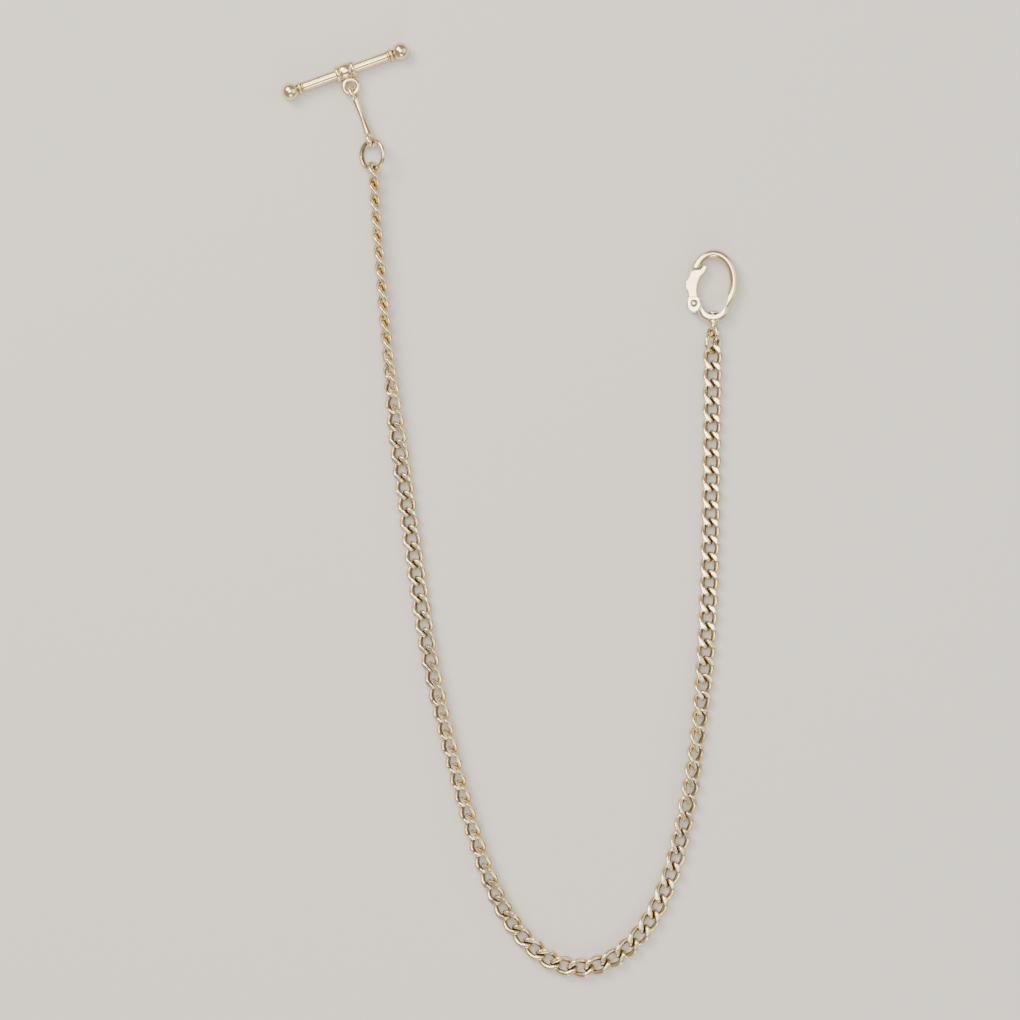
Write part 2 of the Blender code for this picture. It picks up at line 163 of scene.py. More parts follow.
@dataclass(frozen=True)
class BuffedPlate:
    """Gold plate on brass, tumbled and buffed on a mop.

    The plate is a pale champagne gold. A paler colour on its sharp edges and filed faces is a
    painted highlight, a pocket's lint and wax dull it in soft blotches, and a dark brown in the
    hollows is painted shade, which draws the outline of every link.
    """

    name: str
    plate: str
    deeper: str
    # The pale colour put on sharp edges and filed faces is a painted highlight.
    painted_highlight: str
    # The dark brown put into the hollows is painted shade.
    painted_shade: str
    roughness: float
    blotch_mm: float = 2.4
    blotch_from: float = 0.35
    blotch_to: float = 0.68
    scuff_mm: float = 0.35
    scuff_strength: float = 0.15
    scuff_depth_mm: float = 0.01
    # The hollowness over which the painted highlight fades in.
    highlight_from: float = 0.42
    highlight_to: float = 0.22
    # The painted shade's share, the hollowness over which it fades in, and the roughness it adds.
    painted_shade_share: float = 0.92
    painted_shade_from: float = 0.56
    painted_shade_to: float = 0.84
    painted_shade_roughness: float = 0.3

    def material(self) -> bpy.types.Material:
        """Builds the material.

        Returns:
            The finished material.
        """
        made = bpy.data.materials.new(self.name)
        made.use_nodes = True
        tree = made.node_tree
        shader = tree.nodes["Principled BSDF"]
        place = add_node(tree, "ShaderNodeTexCoord").outputs["Object"]
        hollow = add_node(tree, "ShaderNodeAttribute", {"attribute_name": HOLLOW}).outputs["Fac"]
        blotch = add_node(
            tree, "ShaderNodeTexNoise", None,
            {"Vector": place, "Scale": 1 / (self.blotch_mm * MM), "Detail": 3.0},
        ).outputs["Fac"]
        scuff = add_node(
            tree, "ShaderNodeTexNoise", None,
            {"Vector": place, "Scale": 1 / (self.scuff_mm * MM), "Detail": 4.0, "Roughness": 0.65},
        ).outputs["Fac"]
        blotched = add_node(
            tree, "ShaderNodeMapRange", None,
            {"Value": blotch, "From Min": self.blotch_from, "From Max": self.blotch_to},
        ).outputs["Result"]
        plate = add_node(
            tree, "ShaderNodeMix", {"data_type": "RGBA"},
            {0: blotched, MIX_A: linear(self.plate), MIX_B: linear(self.deeper)},
        ).outputs[MIX_RESULT]
        # Painted highlight: the paler colour goes where the skin is least hollow, on sharp edges and
        # filed faces.
        edge = add_node(
            tree, "ShaderNodeMapRange", None,
            {"Value": hollow, "From Min": self.highlight_from, "From Max": self.highlight_to},
        ).outputs["Result"]
        with_highlight = add_node(
            tree, "ShaderNodeMix", {"data_type": "RGBA"},
            {0: edge, MIX_A: plate, MIX_B: linear(self.painted_highlight)},
        ).outputs[MIX_RESULT]
        # Painted shade: the dark brown fades in with hollowness, on inner sides, grooves and deep
        # corners.
        sunk = add_node(
            tree, "ShaderNodeMapRange", None,
            {
                "Value": hollow, "From Min": self.painted_shade_from, "From Max": self.painted_shade_to,
                "To Max": self.painted_shade_share,
            },
        ).outputs["Result"]
        uneven = add_node(
            tree, "ShaderNodeMapRange", None,
            {"Value": scuff, "From Min": 0.3, "From Max": 0.7, "To Min": 0.65, "To Max": 1.0},
        ).outputs["Result"]
        painted_shade = add_node(
            tree, "ShaderNodeMath", {"operation": "MULTIPLY"}, {0: sunk, 1: uneven},
        ).outputs["Value"]
        colour = add_node(
            tree, "ShaderNodeMix", {"data_type": "RGBA"},
            {0: painted_shade, MIX_A: with_highlight, MIX_B: linear(self.painted_shade)},
        ).outputs[MIX_RESULT]
        dull = add_node(
            tree, "ShaderNodeMapRange", None,
            {
                "Value": scuff, "From Min": 0.3, "From Max": 0.75,
                "To Min": self.roughness * 0.75, "To Max": self.roughness * 1.4,
            },
        ).outputs["Result"]
        rough = add_node(
            tree, "ShaderNodeMath", {"operation": "MULTIPLY_ADD"},
            {0: painted_shade, 1: self.painted_shade_roughness, 2: dull},
        ).outputs["Value"]
        bump = add_node(
            tree, "ShaderNodeBump", None,
            {
                "Height": scuff, "Strength": self.scuff_strength,
                "Distance": self.scuff_depth_mm * MM,
            },
        ).outputs["Normal"]
        shader.inputs["Metallic"].default_value = 1.0
        tree.links.new(colour, shader.inputs["Base Color"])
        tree.links.new(rough, shader.inputs["Roughness"])
        tree.links.new(bump, shader.inputs["Normal"])
        return made


@dataclass(frozen=True)
class BlankSpringSteel:
    """Hardened spring steel, left blank from the roll.

    It is a cool grey with a fine grain along the strip, and light brown spots where the pocket's
    damp has reached it.
    """

    name: str
    steel: str
    spots: str
    roughness: float
    grain_mm: float = 0.25
    grain_depth_mm: float = 0.01
    drawn_out: float = 5.0
    spot_share: float = 0.6

    def material(self) -> bpy.types.Material:
        """Builds the material.

        Returns:
            The finished material.
        """
        made = bpy.data.materials.new(self.name)
        made.use_nodes = True
        tree = made.node_tree
        shader = tree.nodes["Principled BSDF"]
        place = add_node(tree, "ShaderNodeTexCoord").outputs["Object"]
        stretched = add_node(
            tree, "ShaderNodeMapping", None,
            {"Vector": place, "Scale": (1.0, 1 / self.drawn_out, 1.0)},
        ).outputs["Vector"]
        grain = add_node(
            tree, "ShaderNodeTexNoise", None,
            {"Vector": stretched, "Scale": 1 / (self.grain_mm * MM), "Detail": 3.0},
        ).outputs["Fac"]
        spotted = add_node(
            tree, "ShaderNodeMapRange", None,
            {"Value": grain, "From Min": 0.55, "From Max": 0.75, "To Max": self.spot_share},
        ).outputs["Result"]
        colour = add_node(
            tree, "ShaderNodeMix", {"data_type": "RGBA"},
            {0: spotted, MIX_A: linear(self.steel), MIX_B: linear(self.spots)},
        ).outputs[MIX_RESULT]
        rough = add_node(
            tree, "ShaderNodeMapRange", None,
            {"Value": grain, "To Min": self.roughness * 0.8, "To Max": self.roughness * 1.3},
        ).outputs["Result"]
        bump = add_node(
            tree, "ShaderNodeBump", None,
            {"Height": grain, "Strength": 0.3, "Distance": self.grain_depth_mm * MM},
        ).outputs["Normal"]
        shader.inputs["Metallic"].default_value = 1.0
        tree.links.new(colour, shader.inputs["Base Color"])
        tree.links.new(rough, shader.inputs["Roughness"])
        tree.links.new(bump, shader.inputs["Normal"])
        return made


@dataclass(frozen=True)
class MattPaint:
    """Matt emulsion, rolled on a board.

    It is a pale warm grey with almost no gloss and a faint orange-peel.
    """

    name: str
    paint: str
    roughness: float = 0.85
    gloss: float = 0.2
    peel_mm: float = 1.5
    peel_depth_mm: float = 0.02

    def material(self) -> bpy.types.Material:
        """Builds the material.

        Returns:
            The finished material.
        """
        made = bpy.data.materials.new(self.name)
        made.use_nodes = True
        tree = made.node_tree
        shader = tree.nodes["Principled BSDF"]
        place = add_node(tree, "ShaderNodeTexCoord").outputs["Object"]
        peel = add_node(
            tree, "ShaderNodeTexNoise", None, {"Vector": place, "Scale": 1 / (self.peel_mm * MM)},
        ).outputs["Fac"]
        bump = add_node(
            tree, "ShaderNodeBump", None,
            {"Height": peel, "Strength": 0.1, "Distance": self.peel_depth_mm * MM},
        ).outputs["Normal"]
        shader.inputs["Base Color"].default_value = linear(self.paint)
        shader.inputs["Roughness"].default_value = self.roughness
        shader.inputs["Specular IOR Level"].default_value = self.gloss
        tree.links.new(bump, shader.inputs["Normal"])
        return made


@dataclass
class Finishes:
    """Every finish of the chain, made once."""

    curb: bpy.types.Material = field(init=False)
    fitting: bpy.types.Material = field(init=False)
    spring: bpy.types.Material = field(init=False)
    floor: bpy.types.Material = field(init=False)

    def __post_init__(self) -> None:
        """Makes the materials."""
        # In each gold finish the paler edge colour is a painted highlight and the dark brown is
        # painted shade.
        self.curb = BuffedPlate(
            "gold_plate_filed_curb", plate="#EFDDB2", deeper="#E2C790", painted_highlight="#F8EED4",
            painted_shade="#3E2C18", roughness=0.22,
        ).material()
        self.fitting = BuffedPlate(
            "gold_plate_buffed_fittings", plate="#EFDDB2", deeper="#E5CC97", painted_highlight="#F8EED4",
            painted_shade="#3E2C18", roughness=0.19, blotch_mm=3.5,
        ).material()
        self.spring = BlankSpringSteel(
            "spring_steel_blank", steel="#9A9A98", spots="#7A6650", roughness=0.32,
        ).material()
        self.floor = MattPaint("matt_paint_pale_board", paint="#D9D6D0").material()


# ---------------------------------------------------------------- shapes


@dataclass(frozen=True)
class WireRing:
    """A ring of round wire in its XY plane, pressed to an oval, and for a curb link twisted
    about X and filed flat on both faces. A bead or a groove on its +Y side is its joint."""

    half_length: float
    half_width: float
    wire: float
    twist: float = 0.0
    power: float = 2.0
    filed: float = 0.0
    joint_bead: float = 0.0
    joint_width: float = 0.22
    steps: int = 64
    sides: int = 16

    def build(self) -> bmesh.types.BMesh:
        """Spins the wire's section into the ring and shapes it.

        Returns:
            The ring, in millimetres, with its hollows marked on the inner side.
        """
        bm = bmesh.new()
        start = Matrix.Translation((self.half_length, 0, 0)) @ ON_EDGE
        bmesh.ops.create_circle(bm, segments=self.sides, radius=self.wire / 2, matrix=start)
        bmesh.ops.spin(
            bm, geom=bm.edges[:], cent=(0, 0, 0), axis=(0, 0, 1), angle=2 * math.pi,
            steps=self.steps, use_merge=True, use_duplicate=False,
        )
        bmesh.ops.remove_doubles(bm, verts=bm.verts, dist=self.wire / 1000)
        layer = bm.verts.layers.float.new(HOLLOW)
        for vert in bm.verts:
            out, vert.co = self.pressed(vert.co)
            # The inner side, towards the hole, is marked for painted shade.
            inward = min(max(-2 * out / self.wire, 0.0), 1.0)
            vert[layer] = ROUND_WIRE + INNER_SIDE * inward
        if self.filed:
            self.file_faces(bm)
        bmesh.ops.recalc_face_normals(bm, faces=bm.faces)
        return bm

    def pressed(self, point: Vector) -> tuple[float, Vector]:
        """Moves a point of the round ring to where it is on the finished one.

        Args:
            point: A point on the round ring.

        Returns:
            How far the point is outside the wire's middle line, and its new place.
        """
        around = math.atan2(point.y, point.x)
        c, s = math.cos(around), math.sin(around)
        on_oval = Vector((
            self.half_length * math.copysign(abs(c) ** (2 / self.power), c),
            self.half_width * math.copysign(abs(s) ** (2 / self.power), s),
            0,
        ))
        outward = Vector((
            math.copysign(abs(on_oval.x / self.half_length) ** (self.power - 1), c)
            / self.half_length,
            math.copysign(abs(on_oval.y / self.half_width) ** (self.power - 1), s)
            / self.half_width,
            0,
        )).normalized()
        from_joint = (around - QUARTER_TURN) * self.half_width / self.joint_width
        swell = 1 + self.joint_bead * math.exp(-(from_joint**2))
        out = (math.hypot(point.x, point.y) - self.half_length) * swell
        level = on_oval + out * outward + Vector((0, 0, point.z * swell))
        return out, Matrix.Rotation(-self.twist * level.x / self.half_length, 3, "X") @ level

    def file_faces(self, bm: bmesh.types.BMesh) -> None:
        """Files both faces of the ring flat, to the depth of `filed` below its highest points.

        Args:
            bm: The ring, already twisted.
        """
        layer = bm.verts.layers.float[HOLLOW]
        level = max(abs(vert.co.z) for vert in bm.verts) - self.filed
        for vert in bm.verts:
            # Each filed face is marked for a painted highlight.
            if abs(vert.co.z) > level:
                vert.co.z = math.copysign(level, vert.co.z)
                vert[layer] = FILED_FACE


def wire_eye(radius: float, wire: float) -> bmesh.types.BMesh:
    """A plain eye of round wire, of this radius to the wire's middle."""
    return WireRing(radius, radius, wire, steps=48).build()


def jump_ring(radius: float, wire: float, steps: int) -> bmesh.types.BMesh:
    """A round ring whose ends meet in a fine groove, with this many steps round it."""
    return WireRing(radius, radius, wire, joint_bead=-0.09, steps=steps, sides=24).build()


def turned(profile: Sequence[tuple[float, float]], steps: int = 40) -> bmesh.types.BMesh:
    """Turns a piece about X.

    Args:
        profile: Places along X and radii, from one end to the other, both ends on the axis.
        steps: Steps round the axis.

    Returns:
        The turned piece, in the profile's units.
    """
    bm = bmesh.new()
    verts = [bm.verts.new((x, 0, radius)) for x, radius in profile]
    edges = [bm.edges.new(pair) for pair in zip(verts, verts[1:])]
    bmesh.ops.spin(
        bm, geom=verts + edges, cent=(0, 0, 0), axis=(1, 0, 0), angle=2 * math.pi,
        steps=steps, use_merge=True, use_duplicate=False,
    )
    bmesh.ops.remove_doubles(bm, verts=bm.verts, dist=1e-4)
    bmesh.ops.recalc_face_normals(bm, faces=bm.faces)
    return bm


def plain_rod(start: float, end: float, radius: float, steps: int = 40) -> bmesh.types.BMesh:
    """A plain round rod along X, from one place to another."""
    return turned([(start, 0), (start, radius), (end, radius), (end, 0)], steps)


def plate(
    outline: Iterable[tuple[float, float]], half: float, edge: float = 0.0
) -> bmesh.types.BMesh:
    """Makes a flat plate from its outline in the XY plane.

    Args:
        outline: The outline's corners, in order.
        half: Half the plate's thickness.
        edge: The radius that its edges are rounded to, or 0.

    Returns:
        The plate, in the outline's units.
    """
    bm = bmesh.new()
    face = bm.faces.new([bm.verts.new((x, y, -half)) for x, y in outline])
    grown = bmesh.ops.extrude_face_region(bm, geom=[face])["geom"]
    verts = [item for item in grown if isinstance(item, bmesh.types.BMVert)]
    bmesh.ops.translate(bm, verts=verts, vec=(0, 0, 2 * half))
    bmesh.ops.recalc_face_normals(bm, faces=bm.faces)
    if edge:
        rims = [item for item in bm.edges if abs(item.verts[0].co.z - item.verts[1].co.z) < half]
        bmesh.ops.bevel(
            bm, geom=rims, affect="EDGES", offset=edge, offset_type="OFFSET", segments=4,
            profile=0.5, material=-1, clamp_overlap=True,
        )
    return bm


def oval(
    centre: tuple[float, float], half_length: float, half_width: float, steps: int = 56
) -> list[tuple[float, float]]:
    """Points round an oval in the XY plane.

    Args:
        centre: The oval's centre.
        half_length: Half its size along X.
        half_width: Half its size along Y.
        steps: The number of points.

    Returns:
        The points, in order.
    """
    turns = [2 * math.pi * step / steps for step in range(steps)]
    x, y = centre
    return [(x + half_length * math.cos(a), y + half_width * math.sin(a)) for a in turns]


def softened(
    corners: Sequence[tuple[float, float]], rounds: int = 2
) -> list[tuple[float, float]]:
    """Rounds an outline's corners by cutting each of them off, over and over.

    Args:
        corners: The outline's corners, in order.
        rounds: How often they are cut.

    Returns:
        The rounded outline.
    """
    points = [Vector(corner) for corner in corners]
    for _ in range(rounds):
        pairs = list(zip(points, points[1:] + points[:1]))
        points = [a.lerp(b, share) for a, b in pairs for share in (0.25, 0.75)]
    return [(point.x, point.y) for point in points]


def bead(centre: float, half: float, base: float, top: float) -> list[tuple[float, float]]:
    """The rounded profile of a turned bead.

    Args:
        centre: Its place along the axis.
        half: Half its length; a negative one runs the profile backwards.
        base: The radius at its ends.
        top: The radius at its middle.

    Returns:
        Places along the axis and radii.
    """
    turns = [math.pi * step / 10 for step in range(11)]
    return [(centre - half * math.cos(a), base + (top - base) * math.sin(a)) for a in turns]


def block(
    x_low: float, x_high: float, y_low: float, y_high: float, half: float
) -> bmesh.types.BMesh:
    """A rectangular block between these limits, of this half thickness."""
    return plate([(x_low, y_low), (x_low, y_high), (x_high, y_high), (x_high, y_low)], half)


def moved(bm: bmesh.types.BMesh, matrix: Matrix) -> bmesh.types.BMesh:
    """Moves a bmesh by a matrix.

    Args:
        bm: The bmesh, which is changed.
        matrix: The move.

    Returns:
        The same bmesh.
    """
    bmesh.ops.transform(bm, matrix=matrix, verts=bm.verts)
    return bm


def as_object(bm: bmesh.types.BMesh, name: str) -> bpy.types.Object:
    """Turns a bmesh into a linked object and frees it.

    Args:
        bm: The bmesh.
        name: The object's name.

    Returns:
        The object, at the origin.
    """
    mesh = bpy.data.meshes.new(name)
    bm.to_mesh(mesh)
    bm.free()
    made = bpy.data.objects.new(name, mesh)
    bpy.context.scene.collection.objects.link(made)
    return made


@dataclass(frozen=True)
class Casting:
    """A piece that is soldered up from shapes and cut by others, then tumbled until every
    corner is soft."""

    joined: Sequence[bmesh.types.BMesh]
    cut: Sequence[bmesh.types.BMesh] = ()
    grain: float = 0.05
    tumbling: int = 5
    sharpness: float = 6.0
    blending: int = 6

    def build(self) -> bmesh.types.BMesh:
        """Joins, cuts and tumbles the shapes.

        Returns:
            The piece as one even skin, in millimetres, with its hollows marked.
        """
        base = as_object(self.joined[0], "casting")
        tools = [(shape, "UNION") for shape in self.joined[1:]]
        tools += [(shape, "DIFFERENCE") for shape in self.cut]
        helpers = []
        for shape, operation in tools:
            helper = as_object(shape, "tool")
            modifier = base.modifiers.new(operation, "BOOLEAN")
            modifier.operation = operation
            modifier.solver = "EXACT"
            modifier.object = helper
            helpers.append(helper)
        skin = base.modifiers.new("skin", "REMESH")
        skin.mode = "VOXEL"
        skin.voxel_size = self.grain
        bpy.context.view_layer.update()
        evaluated = base.evaluated_get(bpy.context.evaluated_depsgraph_get())
        mesh = bpy.data.meshes.new_from_object(evaluated)
        for used in [base, *helpers]:
            bpy.data.objects.remove(used)
        bm = bmesh.new()
        bm.from_mesh(mesh)
        bpy.data.meshes.remove(mesh)
        for _ in range(self.tumbling):
            bmesh.ops.smooth_vert(
                bm, verts=bm.verts, factor=0.5, use_axis_x=True, use_axis_y=True, use_axis_z=True
            )
        bmesh.ops.recalc_face_normals(bm, faces=bm.faces)
        self.mark_hollows(bm)
        return bm

    def mark_hollows(self, bm: bmesh.types.BMesh) -> None:
        """Writes how hollow the skin is at each point: 0 on a sharp edge, 0.5 where it is flat
        and 1 in a deep corner.

        Args:
            bm: The skin, which gets the layer.
        """
        # Sharp edges are marked for painted highlight and deep corners for painted shade.
        layer = bm.verts.layers.float.new(HOLLOW)
        bm.normal_update()
        for vert in bm.verts:
            around = [edge.other_vert(vert).co for edge in vert.link_edges]
            lift = (sum(around, Vector()) / len(around) - vert.co).dot(vert.normal)
            vert[layer] = min(max(0.5 + self.sharpness * lift / self.grain, 0.0), 1.0)
        for _ in range(self.blending):
            means = [
                sum(edge.other_vert(vert)[layer] for edge in vert.link_edges) / len(vert.link_edges)
                for vert in bm.verts
            ]
            for vert, mean in zip(bm.verts, means):
                vert[layer] = mean


def place_piece(
    name: str,
    bm: bmesh.types.BMesh,
    at: Matrix,
    material: bpy.types.Material,
    body: str,
    node: str | None = None,
) -> bpy.types.Object:
    """Makes a finished piece of a shape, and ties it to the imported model.

    Args:
        name: The piece's name.
        bm: Its shape, in millimetres, which is freed.
        at: Its place, in metres.
        material: Its finish.
        body: The body that it moves with.
        node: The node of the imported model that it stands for, if any.

    Returns:
        The piece, at the origin.
    """
    triangles = sum(len(face.verts) - 2 for face in bm.faces)
    piece = as_object(moved(bm, at @ Matrix.Scale(MM, 4)), name)
    piece.data.materials.append(material)
    piece.data.shade_smooth()
    piece.data.set_sharp_from_angle(angle=SMOOTH_ANGLE)
    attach(piece, body)
    if node:
        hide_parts(node)
    LOG.info("%s rides on %s, %d triangles", name, body, triangles)
    return piece


def facing(origin: Vector, forward: Vector, up: Vector = UP) -> Matrix:
    """A matrix at a point with X along a direction and Z as near to another as it can be.

    Args:
        origin: The point.
        forward: The direction of X.
        up: The direction that Z comes close to.

    Returns:
        The matrix.
    """
    forward = forward.normalized()
    side = up.cross(forward).normalized()
    turn = Matrix((forward, side, forward.cross(side))).transposed().to_4x4()
    return Matrix.Translation(origin) @ turn


def middle_of(node: str) -> Vector:
    """The middle of a node's box, in metres."""
    low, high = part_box(node)
    return (low + high) / 2


# ---------------------------------------------------------------- sub-assemblies


@dataclass
class CurbChain:
    """The links, each of them twisted wire, soldered on one side and filed flat on both faces."""

    joints: dict[str, dict]
    finishes: Finishes
    pairs: int = 44
    root_pair: int = 20
    wire: float = 1.14
    half_length: float = 2.37
    half_width: float = 1.53
    twist: float = math.radians(50)
    squareness: float = 2.2
    filed: float = 0.24
    joint_bead: float = 0.06
    loose_roll: float = math.radians(1.2)

    def contacts(self) -> tuple[list[Vector], list[Vector]]:
        """Reads where the pairs of links touch, from the T-bar's end to the clasp's.

        Returns:
            The points, and at each the direction out of the chain's face.
        """
        turning = [number for number in range(self.pairs, 0, -1) if number != self.root_pair]
        named = {joint["child"]: joint for joint in self.joints.values()}
        hinges = [named[f"links_{number:02d}"] for number in turning]
        ends = [self.joints["bar_ring_swing"], self.joints["clasp_ring_swing"]]
        points = [Vector(joint["pos_m"]) for joint in [ends[0], *hinges, ends[1]]]
        faces: list[Vector] = []
        for index, joint in reversed(list(enumerate(hinges, start=1))):
            forward = (points[index + 1] - points[index - 1]).normalized()
            axis = Vector(joint["axis"])
            face = axis if joint["name"].endswith("edgewise") else forward.cross(axis)
            before = faces[-1] if faces else UP
            faces.append(face * math.copysign(1, face.dot(before)))
        faces.reverse()
        return points, [faces[0], *faces, faces[-1]]

    def seats(self) -> list[Matrix]:
        """Works out where each link lies.

        Returns:
            A matrix for each link from the T-bar's end, with X along the chain and Z out of
            the link's face.
        """
        points, faces = self.contacts()
        first, last = 2 * points[0] - points[1], 2 * points[-1] - points[-2]
        line = [first, *points, last]
        places, directions = [], []
        for index in range(self.pairs):
            a, b, c, d = line[index : index + 4]
            # The links of a pair touch halfway along a smooth curve through the four points.
            places += [b, (9 * (b + c) - a - d) / 16]
            directions += [faces[index], (faces[index] + faces[index + 1]).normalized()]
        places.append(points[-1])
        directions.append(faces[-1])
        return [
            facing((start + end) / 2, end - start, out + out_after)
            for start, end, out, out_after in zip(
                places, places[1:], directions, directions[1:]
            )
        ]

    def build(self) -> None:
        """Makes every link in its place, each a little loose and none below the surface."""
        ring = WireRing(
            half_length=self.half_length, half_width=self.half_width, wire=self.wire,
            twist=self.twist, power=self.squareness, filed=self.filed,
            joint_bead=self.joint_bead, steps=56,
        )
        shake = random.Random(44)
        for index, seat in enumerate(self.seats()):
            pair = self.pairs - index // 2
            roll = Matrix.Rotation(shake.uniform(-self.loose_roll, self.loose_roll), 4, "X")
            turned_over = Matrix.Rotation(math.pi * (index % 2), 4, "X")
            at = seat @ roll @ turned_over
            link = ring.build()
            lowest = min((at @ (vert.co * MM)).z for vert in link.verts)
            settled = Matrix.Translation((0, 0, max(-lowest, 0.0)))
            body = f"links_{pair:02d}"
            place_piece(
                f"curb_link_{2 * self.pairs - index:02d}", link, settled @ at,
                self.finishes.curb, body, body if index % 2 == 0 else None,
            )


@dataclass
class BarEnd:
    """The fittings that hold the chain in the buttonhole: end ring, stem, collar and bar."""

    joints: dict[str, dict]
    finishes: Finishes
    ring_radius: float = 3.05
    ring_wire: float = 1.0
    ring_lean: float = math.radians(-40)
    stem_slant: float = math.radians(17)
    stem_roll: float = math.radians(-20)
    stem_eye_radius: float = 1.25
    stem_eye_wire: float = 1.05
    stem_end: float = 0.92
    stem_waist: float = 0.60
    eye_play: float = 0.25
    bar_eye_radius: float = 1.5
    bar_length: float = 28.0
    bar_radius: float = 1.05
    bar_plain_half: float = 1.05
    ball_radius: float = 1.8
    ball_seat: float = 0.8
    groove: float = 0.85
    wide_bead: float = 1.3
    fine_bead: float = 1.05
    collar_half_length: float = 2.1
    collar_radius: float = 1.8
    collar_bead_height: float = 0.32
    collar_bead_half: float = 0.43
    collar_bead_inset: float = 0.45
    fit_gap: float = 0.2

    def __post_init__(self) -> None:
        """Reads the directions of the fittings from the hinges."""
        contact = Vector(self.joints["bar_ring_swing"]["pos_m"])
        self.stem_hinge = Vector(self.joints["bar_stem_swing"]["pos_m"])
        self.bar_eye = Vector(self.joints["bar_swing"]["pos_m"])
        self.back = (self.stem_hinge - contact) * Vector((1, 1, 0))
        self.slanted = Matrix.Rotation(self.stem_slant, 3, "Z") @ self.back.normalized()
        self.eye_reach = self.bar_eye_radius + self.collar_radius + self.fit_gap / 2

    def build(self) -> None:
        """Makes the four pieces."""
        self.build_ring()
        self.build_stem()
        self.build_collar()
        self.build_rod()

    def build_ring(self) -> None:
        """The end ring: a jump ring, soldered where its ends meet."""
        ring = jump_ring(self.ring_radius, self.ring_wire, steps=96)
        at = facing(middle_of("end_ring"), self.back) @ Matrix.Rotation(self.ring_lean, 4, "X")
        place_piece(
            "end_jump_ring", ring, at, self.finishes.fitting, "end_ring", "end_ring"
        )

    def build_stem(self) -> None:
        """The stem: a waisted shank between two soldered eyes."""
        inside = (self.stem_eye_radius - self.stem_eye_wire / 2 - self.eye_play / 2) * MM
        lower = self.stem_hinge + self.slanted * inside
        reach = self.stem_eye_radius + self.bar_eye_radius - self.eye_play
        reach -= (self.stem_eye_wire + self.ring_wire) / 2
        upper = self.bar_eye - self.slanted * reach * MM
        at = facing(lower, upper - lower) @ Matrix.Rotation(self.stem_roll, 4, "X")
        length = (upper - lower).length / MM
        eyes = [
            moved(
                wire_eye(self.stem_eye_radius, self.stem_eye_wire),
                Matrix.Translation((x, 0, 0)) @ ON_EDGE,
            )
            for x in (0, length)
        ]
        shank = self.shank(self.stem_eye_radius, length - self.stem_eye_radius)
        place_piece(
            "t_bar_stem", Casting([shank, *eyes]).build(), at, self.finishes.fitting, "stem",
            "stem",
        )

    def shank(self, near: float, far: float, steps: int = 20) -> bmesh.types.BMesh:
        """Turns the stem's shank, which is thin at its waist.

        Args:
            near: The place of its first end along X, in millimetres.
            far: The place of its other end.
            steps: The steps along it.

        Returns:
            The shank, in millimetres.
        """
        waisted = []
        for step in range(steps + 1):
            slimming = (self.stem_end - self.stem_waist) * math.sin(math.pi * step / steps)
            waisted.append((near + (far - near) * step / steps, self.stem_end - slimming))
        return turned([(near, 0.0), *waisted, (far, 0.0)])

    def bar_place(self) -> Matrix:
        """The bar's middle, with X away from the chain and Y along the bar."""
        return facing(self.bar_eye + self.slanted * self.eye_reach * MM, self.slanted)

    def build_collar(self) -> None:
        """The collar: a sleeve of three beads, and the eye that the stem hangs from."""
        half, top = self.collar_half_length, self.collar_radius
        base = top - self.collar_bead_height
        outer, inset = self.collar_bead_half, self.collar_bead_inset
        profile = [
            (-half, 0.0), *bead(inset - half, outer, base, top),
            *bead(0.0, half - 1.0, base, top - 0.05), *bead(half - inset, outer, base, top),
            (half, 0.0),
        ]
        sleeve = moved(turned(profile), ALONG_Y)
        eye = wire_eye(self.bar_eye_radius, self.ring_wire)
        eye = moved(eye, Matrix.Translation((-self.eye_reach, 0, 0)))
        drill = plain_rod(-2 * half, 2 * half, self.bar_radius + self.fit_gap / 2)
        casting = Casting([sleeve, eye], [moved(drill, ALONG_Y)], tumbling=3)
        place_piece(
            "t_bar_sleeve", casting.build(), self.bar_place(), self.finishes.fitting, "t_bar",
            "t_bar_collar",
        )

    def build_rod(self) -> None:
        """The rod: plain through the collar, then a fine bead, a wide one and a ball at each end."""
        ball = self.bar_length / 2 - self.ball_radius
        rod = self.bar_radius
        meet = math.asin(rod * self.ball_seat / self.ball_radius)
        turns = [(math.pi - meet) * step / 16 for step in range(17)]
        neck = ball - self.ball_radius
        groove = rod * self.groove
        profile = [
            *((ball + self.ball_radius * math.cos(a), self.ball_radius * math.sin(a)) for a in turns),
            *bead(neck - 0.35, -0.35, groove, rod * self.wide_bead),
            *bead(neck - 0.95, -0.2, groove, rod * self.fine_bead),
            (neck - 1.2, rod * 0.97), (neck - 4.0, rod * 0.99), (self.bar_plain_half, rod),
        ]
        bm = turned(profile + [(-x, radius) for x, radius in reversed(profile)], steps=48)
        layer = bm.verts.layers.float.new(HOLLOW)
        for vert in bm.verts:
            radius = math.hypot(vert.co.y, vert.co.z)
            # The grooves by the beads are marked for painted shade.
            grooved = neck - 1.2 < abs(vert.co.x) < neck + 0.3 and radius < rod * 0.92
            vert[layer] = TURNED_GROOVE if grooved else ROUND_WIRE
        place_piece(
            "t_bar", bm, self.bar_place() @ ALONG_Y, self.finishes.fitting, "t_bar",
            "t_bar_rod",
        )


